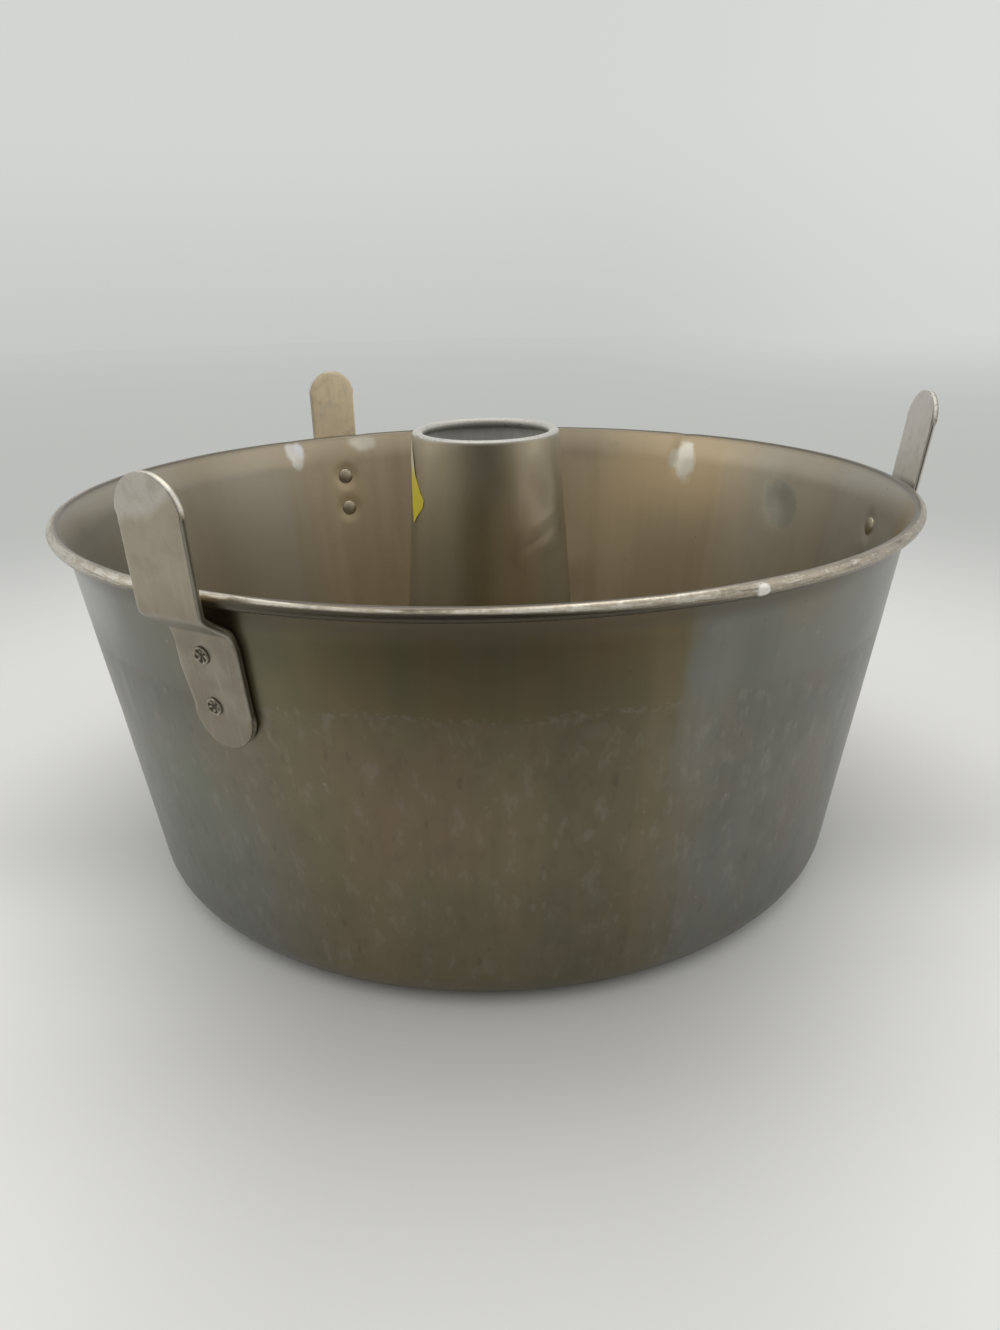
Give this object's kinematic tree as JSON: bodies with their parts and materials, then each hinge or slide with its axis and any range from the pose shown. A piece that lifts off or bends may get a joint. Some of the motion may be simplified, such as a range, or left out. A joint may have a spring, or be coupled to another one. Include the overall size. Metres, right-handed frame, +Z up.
{
  "type": "angel food cake pan",
  "caption": "Footed tube pan for angel food cake: leaning round wall with a rolled rim, loose bottom with a tapered centre tube, and riveted legs to cool it on upside down.",
  "frame": {"origin": "on the pan's axis, at the level of the counter it stands on", "axes": "+Z up along the pan's axis; +X through the right leg; the picture looks along +Y"},
  "size_m": [0.2683, 0.2606, 0.14],
  "materials": {
    "pan_sheet": "satin spun sheet darkened by baking, bright where the rim is worn",
    "plate_sheet": "satin pressed sheet darkened by baking",
    "tube_sheet": "satin drawn sheet darkened by baking, bright at the mouth",
    "leg_strap": "satin strap, light warm grey, bright at the worn edges",
    "rivet_metal": "dull rivet metal"
  },
  "bodies": {
    "pan": {"outer_pan": "pan_sheet", "leg_right": "leg_strap", "leg_back": "leg_strap", "leg_front": "leg_strap", "rivet_right_lower": "rivet_metal", "rivet_right_upper": "rivet_metal", "rivet_back_lower": "rivet_metal", "rivet_back_upper": "rivet_metal", "rivet_front_lower": "rivet_metal", "rivet_front_upper": "rivet_metal"},
    "insert": {"base_plate": "plate_sheet", "centre_tube": "tube_sheet"}
  },
  "joints": [
    {"name": "insert_lift", "type": "slide", "parent": "pan", "child": "insert", "axis": [0, 0, 1], "range_m": [0, 0.145]}
  ]
}
